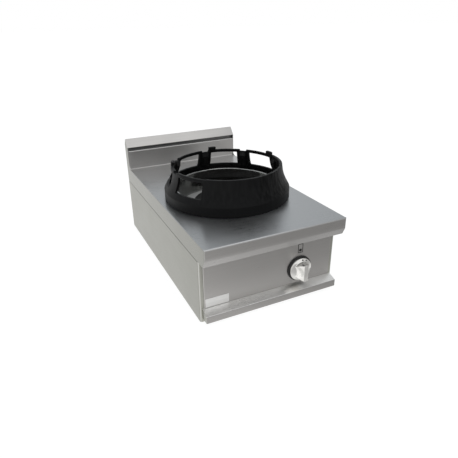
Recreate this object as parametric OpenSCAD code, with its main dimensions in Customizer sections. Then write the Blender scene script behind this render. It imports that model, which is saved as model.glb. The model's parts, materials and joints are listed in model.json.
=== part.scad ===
// Counter-top gas wok burner, millimetres, +Z up, front towards -Y.
// The origin is the middle of the footprint, on the surface that the burner stands on.

/* [Casing] */
// Overall width of the unit
body_w = 400; // [380:1:440]
// Overall depth from the nose of the worktop to the rear
body_d = 700; // [680:1:800]
// Height of the worktop above the stand
top_h = 225; // [222:1:260]
// Sheet thickness of the worktop
top_t = 2; // [1.5:0.1:3]
// Sheet thickness of the panels
sheet_t = 1.5; // [1:0.1:2]
// Depth of the worktop's skirt and nose
skirt_h = 50; // [44:1:56]
// How far the nose stands in front of the side panels
nose_overhang = 42; // [38:1:50]
// Height of the nose's lower part, which slopes back in two folds
nose_low_h = 28; // [24:1:30]
// Height of the upper of these folds
nose_fold_h = 9; // [6:0.5:12]
// Slope at the bottom of the nose, in degrees from upright
nose_slope = 25; // [20:1:30]
// Radius of the worktop's upright front corners
nose_corner_r = 3.5; // [2:0.1:4]
// Radius of the nose's top edge
top_edge_r = 4; // [3:0.5:6]
// How far the nose's bottom return runs back behind the side panels' front
nose_return = 18; // [16:1:24]
// Outer radius of the panels' folded edges
fold_r = 2; // [1.5:0.1:2.5]
// Outer radius of the side panels' front corner
corner_r = 6; // [3:0.5:7]
// Width of the side panels' front flange
flange_w = 11; // [9:0.5:12]
// Width of the flanges that join skirts and side panels
hem_w = 9; // [6:0.5:9.5]
// Height of the groove between the skirts and the side panels
seam_h = 1.2; // [0.6:0.1:1.6]
// Depth of this groove
seam_d = 5; // [4:0.1:5.5]
// Width of the side panels' rear flange
rear_flange_w = 16; // [12:1:20]
// How far the rear flanges are set in from the rear edge
rear_inset = 2.4; // [2.2:0.1:4]

/* [Backsplash] */
// Height of the ridge above the worktop
back_h = 102; // [90:1:130]
// Depth of the backsplash, which is the flue
flue_d = 34; // [32:1:44]
// Distance of the ridge from the rear edge
ridge_set = 13; // [10:1:16]
// Drop from the ridge to the cap's front lip
lip_drop = 26; // [20:1:30]
// Drop from the ridge to the rear edge
bevel_drop = 21; // [16:1:24]
// Height of the flue slot below the lip
slot_h = 12; // [8:1:16]
// How far the lip stands proud of the backsplash
lip_proud = 1; // [0.5:0.5:3]
// Depth of the folded lip under the cap
lip_w = 8; // [5:1:10]
// Depth of the fold at the top of the backsplash face
face_hem = 10; // [6:1:12]
// Inner radius of the bend between worktop and backsplash
bend_r = 2.5; // [2:0.5:10]
// Radius of the end cheeks where they meet the worktop
cheek_r = 14; // [8:1:20]
// Height of the cap's rear flange
cap_flange_h = 16; // [12:1:20]
// Distance of the recess for the gas connection below the skirt
recess_drop = 15; // [10:1:25]
// Depth of the recess for the gas connection
recess_d = 24; // [22:1:30]

/* [Front] */
// Height of the control panel's lower edge
panel_bottom = 40; // [36:1:44]
// How far the control panel stands proud of the flanges
panel_proud = 1.5; // [0.5:0.1:3]
// Gap between the control panel and each flange
panel_gap = 0.3; // [0.2:0.1:4]
// Depth of the control panel's folded returns
panel_return = 12; // [10:0.5:14]
// Radius of the control panel's upright edges
panel_edge_r = 2; // [1.6:0.1:3]
// How far the ledge stands in front of the side panels
ledge_d = 28; // [20:1:34]
// Drop of the ledge's sloped face
ledge_drop = 8.5; // [6:0.5:12]
// Height of the ledge's lower edge
ledge_bottom = 11; // [8:1:16]
// Inset of the ledge's ends from the sides
ledge_inset = 6; // [3:0.5:8]
// Depth of the fold under the ledge
ledge_hem = 12; // [8:1:16]
// Depth of the ledge's tab under the control panel
ledge_tab = 12; // [10:1:14]
// Width of the bare name plate
plate_w = 65; // [40:1:80]
// Height of the bare name plate
plate_h = 25; // [14:1:30]
// Thickness of the bare name plate
plate_t = 0.8; // [0.5:0.1:1.5]
// Distance of the plate from the panel's lower left corner
plate_edge = 3; // [3:0.5:6]

/* [Knob] */
// Distance of the knob's axis from the right side
knob_inset = 111; // [100:1:120]
// Height of the knob's axis
knob_z = 84; // [80:1:88]
// Outer radius of the bezel
bezel_r = 36; // [35.5:0.5:38]
// Height of the bezel, into which the knob dips
bezel_h = 5; // [4:0.5:6]
// Gap round the knob in the bezel
bezel_gap = 0.6; // [0.4:0.1:1]
// Radius of the knob
knob_r = 32.5; // [28:0.5:33]
// Height of the knob's upright edge
knob_skirt_h = 5; // [4:0.5:6]
// Rise of the knob's domed face
knob_dome_h = 7; // [5:0.5:9]
// Width of the knob's bar grip at its root
grip_w = 54; // [44:0.5:58]
// Width of the grip at its front
grip_front_w = 12; // [11:0.5:15]
// Length of the grip
grip_l = 48; // [40:0.5:54]
// Height of the grip above the knob's edge
grip_h = 25.5; // [20:0.5:26]
// Radius of the hollow on each side of the grip
scoop_r = 60; // [50:1:80]
// Depth of these hollows
scoop_in = 2.5; // [1:0.1:3]
// Travel of the knob when it is pushed
push_travel = 4; // [3:0.5:5]
// Radius of the spindle
spindle_r = 4; // [3:0.1:4.5]

/* [Gas valve] */
// Distance of the valve's bonnet behind the panel's face
valve_set = 20; // [18:0.5:24]
// Thickness of the bonnet's front wall
bonnet_wall = 6; // [5:0.5:8]
// Depth of the bonnet's chamber
bonnet_room = 8; // [7:0.5:9]
// Outer radius of the bonnet and the valve's flange
bonnet_r = 19; // [18:0.5:21]
// Radius of the bonnet's chamber
chamber_r = 9.3; // [9.1:0.1:10]
// Radius of the valve body
valve_r = 15; // [13:0.5:16]
// Thickness of the valve's flange
valve_flange = 6; // [5:0.5:8]
// Room in front of the plug
plug_room = 6; // [5:0.5:8]
// Radius of the plug's wide end
plug_r = 9; // [8.5:0.1:9]
// Radius of the plug's narrow end
plug_end_r = 6.5; // [6.4:0.1:7]
// Length of the plug
plug_l = 28; // [26:0.5:32]
// Depth of the plug's drive slot
slot_depth = 10; // [9.5:0.5:12]
// Thickness of the spindle's tongue
tongue_t = 2.4; // [2:0.1:3]
// Width of the spindle's tongue
tongue_w = 6; // [5:0.1:7]
// How far the tongue reaches into the plug at rest
tongue_in = 4; // [3:0.5:4.5]
// Radius of the collar on the spindle
collar_r = 6.5; // [6:0.1:8]
// Thickness of the collar on the spindle
collar_t = 2.5; // [2:0.1:3]
// Radius of the push rod
rod_r = 1.4; // [1:0.1:1.6]
// Radius of the plug's axial bore
plug_bore_r = 2; // [1.8:0.1:2.2]
// Radius of the safety chamber behind the plug
rear_room_r = 6; // [5:0.1:6.2]
// Length of the safety chamber
rear_room = 18; // [16:0.5:22]
// Radius of the safety magnet's housing
magnet_r = 9; // [7:0.5:11]
// Length of the safety magnet's housing
magnet_l = 18; // [14:0.5:24]
// Length of the magnet's threaded end in the valve
magnet_in = 4; // [3:0.5:6]
// Reach of the valve's ports from its axis
port_reach = 18; // [17:0.5:20]
// Wire radius of the return spring
spring_wire_r = 0.5; // [0.4:0.05:0.6]
// Mean radius of the return spring
spring_r = 4.9; // [4.6:0.1:5.2]
// Turns of the return spring
spring_turns = 4; // [3:1:5]
// Half the width of the valve bracket
valve_bracket_w = 24; // [22:1:28]
// Length of the brackets' feet
foot_l = 24; // [20:1:28]

/* [Gas lines] */
// Radius of the supply pipe
pipe_r = 8; // [7:0.5:9]
// Bore radius of the supply pipe
pipe_bore_r = 6.5; // [5:0.5:6.5]
// Distance of the supply pipe to the right of the knob's axis
pipe_offset = 61; // [59:1:76]
// Radius of the supply pipe's bend
pipe_bend_r = 26; // [20:1:28]
// Radius of the threaded gas inlet
inlet_r = 10.48; // [8:0.01:13]
// Free length of the threaded gas inlet
inlet_l = 16; // [12:0.5:16]
// Bore radius of the gas inlet
inlet_bore_r = 6; // [4:0.5:6.5]
// Corner radius of the inlet's hexagons
inlet_hex_r = 17; // [16:0.5:20]
// Thickness of the inlet's locknut
locknut_t = 5; // [4:0.5:6]
// Length of the inlet's hexagon inside the panel
inlet_hex_l = 20; // [16:1:24]
// Radius of the tube that feeds the injector
feed_r = 5; // [4:0.5:6]
// Bore radius of the feed tube
feed_bore_r = 3.8; // [2:0.1:3.8]
// Thickness of the pipe nuts
nut_l = 10; // [8:0.5:12]
// Radius of the pilot tube
pilot_tube_r = 2; // [1.5:0.1:2.2]
// Radius of the thermocouple's lead
lead_r = 1.2; // [1:0.1:1.6]

/* [Burner] */
// Distance of the burner's axis behind the nose
burner_setback = 300; // [290:1:320]
// Outer radius of the mixing tube
tube_r = 28; // [26:0.5:30]
// Wall of the burner casting
cast_t = 5; // [4:0.5:6]
// Radius of the riser below the burner's bowl
riser_r = 34; // [32:0.5:36]
// Radius of the burner's bowl
head_r = 80; // [76:0.5:82]
// Height where the bowl starts to widen
flare_low = 128; // [127:1:134]
// Height where the bowl reaches its full width
flare_high = 160; // [150:1:168]
// Height of the bowl's rim
head_rim = 188; // [180:1:195]
// Height of the crown above the rim
crown_h = 21; // [20:0.5:22]
// Radius of the crown's overhanging rim
crown_r = 98; // [95:0.5:100]
// Thickness of that rim
crown_rim_t = 9; // [6:0.5:9.5]
// Depth of the crown's spigot in the bowl
spigot_h = 6; // [4:0.5:10]
// Radius of the crown's flame ports
port_r = 1.8; // [1:0.1:2.2]
// Number of ports in the outer ring
outer_ports = 40; // [24:2:44]
// Number of ports in the inner ring
inner_ports = 16; // [8:2:18]
// Height of the ears that carry the burner
ear_z = 120; // [116:1:121]
// Thickness of the ears
ear_t = 6; // [4:0.5:6]
// Length of the ears from the axis
ear_l = 82; // [78:0.5:83]
// Width of the ears
ear_w = 28; // [22:1:34]
// Distance of the brackets' webs from the middle
web_x = 100; // [98:0.5:104]
// Width of the burner brackets
bracket_w = 72; // [66:1:84]
// Length of the brackets' top flange
bracket_top = 42; // [38:1:44]
// Gap from the injector's tip to the mixing tube's mouth
air_gap = 14; // [10:0.5:20]
// Length of the air shutter
shutter_l = 24; // [18:0.5:30]
// Wall of the air shutter
shutter_t = 2; // [1.5:0.1:3]
// Travel of the air shutter
shutter_travel = 12; // [8:0.5:14]
// Half the size of the injector holder's block
holder_half = 14; // [12:0.5:15]
// Length of the injector's hexagon
injector_hex_l = 6; // [5:0.5:8]
// Length of the injector's tip
injector_tip_l = 6; // [4:0.5:8]
// Radius of the injector's thread
injector_r = 5; // [4:0.1:6]
// Radius of the injector's orifice
orifice_r = 0.9; // [0.6:0.1:1.2]
// Distance of the pilot from the burner's axis
pilot_x = 90; // [89:0.5:91]
// Radius of the pilot's tube
pilot_r = 4; // [3:0.1:4.5]
// Radius of the thermocouple
probe_r = 2.5; // [1.5:0.1:3]
// Distance of the thermocouple behind the pilot
probe_y = 20; // [18:0.5:22]

/* [Well] */
// Outer radius of the collar round the well
collar_out_r = 152; // [148:0.5:154]
// Height of the collar above the worktop
collar_h = 26; // [20:0.5:30]
// Width of the collar's foot on the worktop
collar_foot = 11; // [8:0.5:12]
// Radius of the rolled rim
bead_r = 2.5; // [2:0.1:3]
// Width of the bowl's flat rim below the well's wall
bowl_rim = 10; // [6:0.5:14]
// Depth of the well's wall below the worktop
bowl_depth = 36; // [34:1:60]
// Fall of the bowl's bottom
bowl_fall = 15; // [10:1:20]
// Radius of the opening round the burner
bowl_hole_r = 106; // [102:0.5:110]
// Height of the lip round that opening
bowl_lip = 11; // [6:0.5:14]

/* [Wok ring] */
// Outer radius of the ring's base
ring_r = 182; // [180:0.5:188]
// Height of the ring's plain base band
band_h = 28; // [20:1:36]
// Height of the closed front rim
ring_h = 95; // [90:1:110]
// Outer radius of the rim
ring_top_r = 159; // [156:0.5:168]
// Wall of the ring
ring_wall = 8; // [6:0.5:9]
// How far the wall curves in between base and rim
ring_bow = 5; // [2:0.5:8]
// Number of windows
window_count = 5; // [3:1:5]
// Direction of the first window, counted from the right
window_first = 22; // [18:1:26]
// Angle from window to window
window_pitch = 46; // [42:1:47]
// Angle that each window takes
window_angle = 31; // [24:1:34]
// Height of the windows' sill
window_low = 43; // [38:1:50]
// Height of the windows' top
window_high = 84; // [76:1:86]
// Drop from the closed rim to the open rails
rail_drop = 1.5; // [1:0.5:4]
// Chamfer along the outside of the open rails
rail_chamfer = 3; // [1:0.5:4]
// Drop from the closed rim to the pillars' notches
notch_drop = 7; // [5:0.5:8]
// Angle that each notch takes
notch_angle = 8; // [5:0.5:10]
// Height of the nubs above the rails
nub_h = 8.5; // [4:0.5:10]
// Angle that each nub takes
nub_angle = 8.5; // [5:0.5:9]
// Width of the lugs inside the ring
lug_w = 20; // [10:0.5:24]
// How far the lugs stand in from the ring's wall
lug_in = 6; // [4:0.5:8]
// Height of the slope on top of the lugs
lug_slope = 12; // [8:0.5:16]
// Width of the pads that centre the ring
pad_w = 24; // [16:1:30]

/* [Fits] */
// Radial gap of parts that turn or slide in each other
run_gap = 0.05; // [0.02:0.01:0.1]
// Radial gap of parts that lift out by hand
lift_gap = 0.4; // [0.3:0.05:0.6]
// Gap that is left behind the pushed knob
push_gap = 0.6; // [0.4:0.1:1]
// Radius of the holes for the bolts of a stand
stand_hole_r = 4.5; // [3:0.1:6]
// Distance of those holes from the sides
stand_inset_x = 40; // [30:1:50]
// Distance of those holes from the nose and the rear
stand_inset_y = 70; // [60:1:80]
// Radius of the small screws
screw_r = 2; // [1.5:0.1:2.5]
// Radius of the small screws' heads
screw_head_r = 3.6; // [3:0.1:4]
// Height of the small screws' heads
screw_head_h = 2; // [1.5:0.1:2.2]
// Radius of the burner's bolts
bolt_r = 3; // [2.5:0.1:4]

/* [Hidden] */
$fn = 64;
cut = 1;

// Planes and heights of the casing
half_w = body_w / 2;
nose_y = -body_d / 2;
rear_y = body_d / 2;
skirt_z = top_h - skirt_h;
nose_mid_y = nose_y + nose_fold_h * tan(nose_slope / 2);
nose_low_y = nose_mid_y + (nose_low_h - nose_fold_h) * tan(nose_slope);
NOSE = [
    [nose_y, top_h - top_edge_r],
    [nose_y, skirt_z + nose_low_h],
    [nose_mid_y, skirt_z + nose_low_h - nose_fold_h],
    [nose_low_y, skirt_z]
];
panel_y = nose_y + nose_overhang;
panel_face_y = panel_y - panel_proud;
panel_half = half_w - flange_w - panel_gap;
inner_x = half_w - sheet_t;
rear_flange_y = rear_y - rear_inset;
back_y = rear_flange_y - sheet_t;
back_half = half_w - top_t;
recess_y = rear_y - recess_d - sheet_t;
recess_h = skirt_z - recess_drop;
upstand_y = rear_y - flue_d;
ridge_z = top_h + back_h;
lip_z = ridge_z - lip_drop;
bevel_z = ridge_z - bevel_drop;
upstand_top = lip_z - slot_h;
tab_half = panel_half - sheet_t;
ledge_half = half_w - ledge_inset;
knob_x = half_w - knob_inset;
pipe_x = knob_x + pipe_offset;
stand_hole_x = half_w - stand_inset_x;
stand_hole_y = body_d / 2 - stand_inset_y;

// Burner and well
burner_y = nose_y + burner_setback;
collar_in_r = collar_out_r - sheet_t;
bowl_out_r = collar_in_r - lift_gap;
bead_mid_r = collar_in_r + sheet_t / 2 - bead_r / 4;
bowl_bottom = top_h - bowl_depth;

// Valve, with depths counted back from the control panel's face along the knob's axis
bonnet_back = valve_set + bonnet_wall + bonnet_room;
plug_front = bonnet_back + plug_room;
plug_back = plug_front + plug_l;
valve_back = plug_back + rear_room;
outlet_w = plug_front + plug_l / 2;
inlet_w = plug_back + rear_room / 2;
magnet_back = valve_back + magnet_l;
knob_foot = push_travel + push_gap;
bezel_in_r = knob_r + bezel_gap;
collar_front = valve_set + bonnet_wall;
tongue_back = plug_front + tongue_in;
outlet_y = panel_face_y + outlet_w;
inlet_y = panel_face_y + inlet_w;
magnet_y = panel_face_y + magnet_back;
port_boss_r = 8;
pilot_boss_r = 5;
flange_screw_x = 14;
lead_nut_l = 8;

// Injector, mixing tube and brackets
holder_back = outlet_y + holder_half;
injector_tip_y = holder_back + injector_hex_l + injector_tip_l;
mouth_y = injector_tip_y + air_gap;
shutter_in_r = tube_r + run_gap;
tube_bore_r = tube_r - cast_t;
base_top = sheet_t;
pilot_base_h = 8;
foot_screw = foot_l / 2;
screw_hole_r = screw_r + run_gap;
bolt_hole_r = bolt_r + run_gap;
bolt_x = ear_l - 12;
bolt_head_h = 4;

// Screws through the feet of the brackets: x, y
valve_foot_y = panel_face_y + valve_set;
injector_foot_y = outlet_y;
FOOT_SCREWS = [
    [knob_x - flange_screw_x, valve_foot_y + foot_screw],
    [knob_x + flange_screw_x, valve_foot_y + foot_screw],
    [0, injector_foot_y + foot_screw],
    for (s = [-1, 1], e = [-1, 1]) [s * (web_x + foot_screw), burner_y + e * bracket_w / 4]
];
// Screws through the rear flanges and the cap's flange: x, z
rear_screw_x = half_w - rear_flange_w / 2 - sheet_t / 2;
REAR_SCREWS = [
    for (s = [-1, 1]) [s * rear_screw_x, (recess_h + skirt_z) / 2],
    for (s = [-1, 0, 1]) [s * half_w * 0.75, bevel_z - cap_flange_h / 2]
];

// Direction of a vector
function unit(v) = v / norm(v);

// A path with each inner corner replaced by an arc of radius r
function rounded(p, r, n = 5) = [
    p[0],
    for (i = [1 : len(p) - 2])
        let (
            u = unit(p[i - 1] - p[i]),
            v = unit(p[i + 1] - p[i]),
            half = acos(u * v) / 2,
            c = p[i] + unit(u + v) * r / sin(half),
            e1 = unit(p[i] + u * r / tan(half) - c),
            e2raw = p[i] + v * r / tan(half) - c,
            e2 = unit(e2raw - e1 * (e2raw * e1))
        )
        for (k = [0 : n]) c + r * (cos(k * (180 - 2 * half) / n) * e1 + sin(k * (180 - 2 * half) / n) * e2),
    p[len(p) - 1]
];

// Left-hand normal of a flat segment
function left(a, b) = let (d = unit(b - a)) [-d[1], d[0]];

// A flat path moved to its left by t, with mitred corners
function shifted(p, t) = [
    for (i = [0 : len(p) - 1])
        let (
            n0 = left(p[max(i - 1, 0)], p[max(i, 1)]),
            n1 = left(p[min(i, len(p) - 2)], p[min(i + 1, len(p) - 1)]),
            m = unit(n0 + n1)
        )
        p[i] + m * t / (m * n1)
];

// Sheet of thickness t along a flat path, on the path's left side
module sheet_path(p, t) {
    q = shifted(p, t);
    polygon(concat(p, [for (i = [len(q) - 1 : -1 : 0]) q[i]]));
}

// Quarter ring from angle a, outer radius r, wall t
module sheet_bend(x, y, r, t, a) {
    translate([x, y])
        rotate(a)
            difference() {
                intersection() {
                    circle(r);
                    square(r);
                }
                circle(r - t);
            }
}

// Quarter disc from angle a
module quarter(x, y, r, a) {
    translate([x, y])
        rotate(a)
            intersection() {
                circle(r);
                square(r);
            }
}

// What is cut from a square corner to round it, with the corner's arc centred on x, y
module corner_cut(x, y, r, a) {
    translate([x, y])
        rotate(a)
            difference() {
                square(r + cut);
                circle(r);
            }
}

// Flat outline in Y and Z, run along X
module along_x(x0, x1) {
    translate([x0, 0, 0])
        rotate([90, 0, 90])
            linear_extrude(x1 - x0)
                children();
}

// Flat outline in X and Z, run along Y
module along_y(y0, y1) {
    translate([0, y1, 0])
        rotate([90, 0, 0])
            linear_extrude(y1 - y0)
                children();
}

// Box between two corners
module block(a, b) {
    translate(a)
        cube(b - a);
}

module both_sides() {
    children();
    mirror([1, 0, 0])
        children();
}

// The burner's axis
module on_burner() {
    translate([0, burner_y, 0])
        children();
}

// The knob's axis: local Z points out of the panel, and zero is the panel's face
module on_knob() {
    translate([knob_x, panel_face_y, knob_z])
        rotate([90, 0, 0])
            children();
}

// Tube along a path of points, with sides square to a reference direction that the path never takes
module tube_path(p, r, sides, ref) {
    n = len(p);
    points = [
        for (i = [0 : n - 1])
            let (
                t = unit(p[min(i + 1, n - 1)] - p[max(i - 1, 0)]),
                u = unit(cross(t, ref)),
                v = cross(u, t)
            )
            for (k = [0 : sides - 1]) p[i] + r * (cos(k * 360 / sides) * u + sin(k * 360 / sides) * v)
    ];
    walls = [
        for (i = [0 : n - 2], k = [0 : sides - 1])
            let (
                a = i * sides + k,
                b = i * sides + (k + 1) % sides
            )
            each [[a, b, b + sides], [a, b + sides, a + sides]]
    ];
    start = [for (k = [1 : sides - 2]) [0, k + 1, k]];
    end = [for (k = [1 : sides - 2]) [(n - 1) * sides, (n - 1) * sides + k, (n - 1) * sides + k + 1]];
    polyhedron(concat(points), concat(walls, start, end), convexity = 8);
}

// Pan head screw along -Z with its seat at zero
module screw(r, l, head_r, head_h) {
    cylinder(r = head_r, h = head_h);
    translate([0, 0, -l])
        cylinder(r = r, h = l);
}

// Hexagon nut along Z
module hex_nut(r, bore, l) {
    difference() {
        cylinder(r = r, h = l, $fn = 6);
        translate([0, 0, -cut])
            cylinder(r = bore, h = l + 2 * cut);
    }
}

// Casing

// Section of the worktop's sheet between the skirts
module worktop_section() {
    top_start = nose_y + top_edge_r;
    translate([top_start, top_h - top_t])
        square([upstand_y - bend_r - top_start, top_t]);
    sheet_bend(top_start, top_h - top_edge_r, top_edge_r, top_t, 90);
    sheet_path(concat(NOSE, [[panel_y + nose_return, skirt_z]]), top_t);
    sheet_bend(upstand_y - bend_r, top_h + bend_r, bend_r + top_t, top_t, 270);
    translate([upstand_y, top_h + bend_r])
        square([top_t, upstand_top - top_h - bend_r - top_edge_r]);
    sheet_bend(upstand_y + top_edge_r, upstand_top - top_edge_r, top_edge_r, top_t, 90);
    translate([upstand_y + top_edge_r, upstand_top - top_t])
        square([face_hem - top_edge_r, top_t]);
}

// Outline of the skirts, with the nose's end and the backsplash's cheek
module skirt_outline() {
    polygon(concat(NOSE, [[rear_y, skirt_z], [rear_y, top_h - top_edge_r]]));
    quarter(nose_y + top_edge_r, top_h - top_edge_r, top_edge_r, 90);
    translate([nose_y + top_edge_r, top_h - top_edge_r])
        square([rear_y - nose_y - top_edge_r, top_edge_r]);
    polygon([
        [upstand_y, top_h - cut],
        [upstand_y, lip_z - lip_proud],
        [upstand_y - lip_proud, lip_z],
        [rear_y - ridge_set, ridge_z],
        [rear_y, bevel_z],
        [rear_y, top_h - cut]
    ]);
    difference() {
        translate([upstand_y - cheek_r, top_h - cut])
            square([cheek_r + cut, cheek_r + cut]);
        translate([upstand_y - cheek_r, top_h + cheek_r])
            circle(cheek_r);
        translate([upstand_y - cheek_r - cut, top_h + cheek_r])
            square([cheek_r + cut, 2 * cut]);
    }
}

module worktop() {
    color([0.62, 0.64, 0.65])
        difference() {
            union() {
                along_x(-half_w + top_t, half_w - top_t)
                    worktop_section();
                both_sides() {
                    along_x(half_w - top_t, half_w)
                        skirt_outline();
                    block([half_w - top_t - hem_w, panel_y + nose_return, skirt_z],
                          [half_w - top_t, back_y - sheet_t - cut, skirt_z + top_t]);
                }
            }
            both_sides() {
                along_y(nose_low_y + top_t, rear_y + cut)
                    corner_cut(half_w - top_t / 2, skirt_z + top_t / 2, top_t / 2, 270);
                along_y(nose_y + top_edge_r, upstand_y - cheek_r)
                    corner_cut(half_w - top_t, top_h - top_t, top_t, 0);
                translate([0, 0, skirt_z - cut])
                    linear_extrude(skirt_h + 2 * cut)
                        corner_cut(half_w - nose_corner_r, nose_y + nose_corner_r, nose_corner_r, 270);
            }
            on_burner()
                translate([0, 0, top_h - top_t - cut])
                    cylinder(r = collar_in_r, h = top_t + 2 * cut);
        }
}

module flue_cap() {
    cap_rear = rear_flange_y;
    slope = bevel_drop / ridge_set;
    path = [
        [upstand_y - lip_proud + lip_w, lip_z],
        [upstand_y - lip_proud, lip_z],
        [rear_y - ridge_set, ridge_z],
        [cap_rear, bevel_z + (rear_y - cap_rear) * slope],
        [cap_rear, bevel_z - cap_flange_h]
    ];
    color([0.72, 0.72, 0.71])
        difference() {
            along_x(-back_half, back_half)
                sheet_path([for (i = [len(path) - 1 : -1 : 0]) path[i]], sheet_t);
            rear_screw_holes();
        }
}

// Strip behind the slot, which keeps spills out of the flue: the gas passes over it and out below the lip
module flue_baffle() {
    front = upstand_y + face_hem;
    color([0.66, 0.66, 0.65])
        block([-back_half, front, upstand_top - top_t], [back_half, front + sheet_t, lip_z]);
}

// Plan of a side panel with its front and rear flanges
module side_section() {
    translate([inner_x, panel_y + corner_r])
        square([sheet_t, rear_y - panel_y - corner_r]);
    sheet_bend(half_w - corner_r, panel_y + corner_r, corner_r, sheet_t, 270);
    translate([half_w - flange_w, panel_y])
        square([flange_w - corner_r, sheet_t]);
    translate([half_w - rear_flange_w, rear_flange_y - sheet_t])
        square([rear_flange_w, sheet_t]);
}

module side_panel() {
    wall_top = skirt_z - seam_h;
    step_x = half_w - seam_d;
    flange_end = back_y - sheet_t - cut;
    difference() {
        union() {
            linear_extrude(wall_top)
                side_section();
            difference() {
                union() {
                    block([step_x - sheet_t, panel_y, wall_top - sheet_t], [half_w, flange_end, wall_top]);
                    block([step_x - sheet_t, panel_y, wall_top - sheet_t], [step_x, flange_end, skirt_z]);
                    block([half_w - top_t - hem_w, panel_y, skirt_z - sheet_t], [step_x, flange_end, skirt_z]);
                }
                linear_extrude(skirt_z + cut)
                    corner_cut(half_w - corner_r, panel_y + corner_r, corner_r, 270);
            }
        }
        along_y(panel_y - cut, rear_y + cut)
            corner_cut(half_w - fold_r, wall_top - fold_r, fold_r, 0);
        rear_screw_holes();
    }
}

module side_panel_left() {
    color([0.68, 0.68, 0.66])
        mirror([1, 0, 0])
            side_panel();
}

module side_panel_right() {
    color([0.68, 0.68, 0.66])
        side_panel();
}

module control_panel() {
    back = panel_y + panel_return;
    color([0.57, 0.57, 0.56])
        difference() {
            block([-panel_half, panel_face_y, panel_bottom], [panel_half, back, skirt_z]);
            block([-panel_half + sheet_t, panel_face_y + sheet_t, panel_bottom + sheet_t],
                  [panel_half - sheet_t, back + cut, skirt_z - sheet_t]);
            translate([0, 0, panel_bottom - cut])
                linear_extrude(skirt_z - panel_bottom + 2 * cut)
                    both_sides()
                        corner_cut(panel_half - panel_edge_r, panel_face_y + panel_edge_r, panel_edge_r, 270);
            on_knob()
                translate([0, 0, -sheet_t - cut])
                    cylinder(r = spindle_r + 2 * sheet_t, h = sheet_t + 2 * cut);
        }
}

module front_ledge() {
    lip_y = panel_y - ledge_d;
    lip_top = panel_bottom - ledge_drop;
    path = rounded([
        [panel_y, panel_bottom],
        [lip_y, lip_top],
        [lip_y, ledge_bottom],
        [lip_y + ledge_hem, ledge_bottom]
    ], fold_r);
    section = concat([[panel_y + ledge_tab, panel_bottom]], path);
    color([0.6, 0.6, 0.59]) {
        along_x(-tab_half, tab_half)
            sheet_path(section, sheet_t);
        along_x(-ledge_half, ledge_half)
            intersection() {
                sheet_path(section, sheet_t);
                translate([lip_y - cut, 0])
                    square([ledge_d + cut, panel_bottom]);
            }
        both_sides()
            along_x(ledge_half - sheet_t, ledge_half)
                polygon(concat(path, [[panel_y, ledge_bottom]]));
    }
}

module name_plate() {
    x0 = -panel_half + plate_edge;
    z0 = panel_bottom + plate_edge / 3;
    color([0.76, 0.76, 0.75])
        block([x0, panel_face_y - plate_t, z0], [x0 + plate_w, panel_face_y, z0 + plate_h]);
}

module base_plate() {
    front = panel_y + sheet_t;
    rib_h = 24;
    slot_w = 8;
    slot_l = 70;
    slot_step = 18;
    tab_y = panel_y + ledge_tab;
    color([0.6, 0.61, 0.62])
        difference() {
            union() {
                block([-inner_x, front, 0], [inner_x, recess_y, base_top]);
                both_sides()
                    block([inner_x - sheet_t, front, 0], [inner_x, recess_y, rib_h]);
                block([-inner_x, recess_y - sheet_t, 0], [inner_x, recess_y, rib_h]);
                block([-tab_half, tab_y - sheet_t, 0], [tab_half, tab_y, panel_bottom - sheet_t]);
            }
            for (x = [-1, 1], y = [-1, 1])
                translate([x * stand_hole_x, y * stand_hole_y, -cut])
                    cylinder(r = stand_hole_r, h = sheet_t + 2 * cut);
            for (s = [-1, 1], k = [0 : 4])
                translate([s * slot_l, burner_y + bracket_w + k * slot_step, base_top / 2])
                    cube([slot_l, slot_w, base_top + 2 * cut], center = true);
            foot_screw_holes();
            translate([0, 0, -cut])
                linear_extrude(rib_h + 2 * cut)
                    both_sides()
                        corner_cut(inner_x - corner_r, front + corner_r, corner_r, 270);
        }
}

module back_panel() {
    top = bevel_z - sheet_t;
    color([0.64, 0.64, 0.63])
        difference() {
            union() {
                block([-back_half, recess_y, 0], [back_half, recess_y + sheet_t, recess_h]);
                block([-back_half, recess_y, recess_h - sheet_t], [back_half, back_y, recess_h]);
                block([-back_half, back_y - sheet_t, recess_h - sheet_t], [back_half, back_y, top]);
            }
            translate([pipe_x, recess_y - cut, knob_z])
                rotate([-90, 0, 0])
                    cylinder(r = neck_r() + run_gap, h = sheet_t + 2 * cut);
            rear_screw_holes();
            for (k = [0 : 6])
                translate([-half_w * 0.3, recess_y + sheet_t / 2, recess_h * 0.3 + k * 12])
                    cube([half_w * 0.7, sheet_t + 2 * cut, 5], center = true);
        }
}

// Well

module well_collar() {
    color([0.7, 0.71, 0.72])
        on_burner()
            translate([0, 0, top_h])
                rotate_extrude() {
                    translate([collar_in_r, 0])
                        square([sheet_t + collar_foot, sheet_t]);
                    translate([collar_in_r, 0])
                        square([sheet_t, collar_h]);
                }
}

// Wall of the well, hung on the collar by its rolled rim
module well_liner() {
    rim = top_h + collar_h + bead_r;
    color([0.6, 0.61, 0.62])
        on_burner()
            rotate_extrude() {
                translate([bead_mid_r, rim])
                    circle(bead_r);
                translate([bowl_out_r - sheet_t, bowl_bottom])
                    square([sheet_t, rim - bowl_bottom]);
            }
}

// Pan welded under the liner, with a lip round the burner
module spill_bowl() {
    rim_r = bowl_out_r - bowl_rim;
    hole_z = bowl_bottom - bowl_fall;
    color([0.55, 0.56, 0.57])
        on_burner()
            rotate_extrude()
                polygon([
                    [bowl_out_r, bowl_bottom],
                    [rim_r, bowl_bottom],
                    [bowl_hole_r, hole_z],
                    [bowl_hole_r, hole_z + bowl_lip],
                    [bowl_hole_r - sheet_t, hole_z + bowl_lip],
                    [bowl_hole_r - sheet_t, hole_z - sheet_t],
                    [rim_r, bowl_bottom - sheet_t],
                    [bowl_out_r, bowl_bottom - sheet_t]
                ]);
}

// Wok ring

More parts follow.
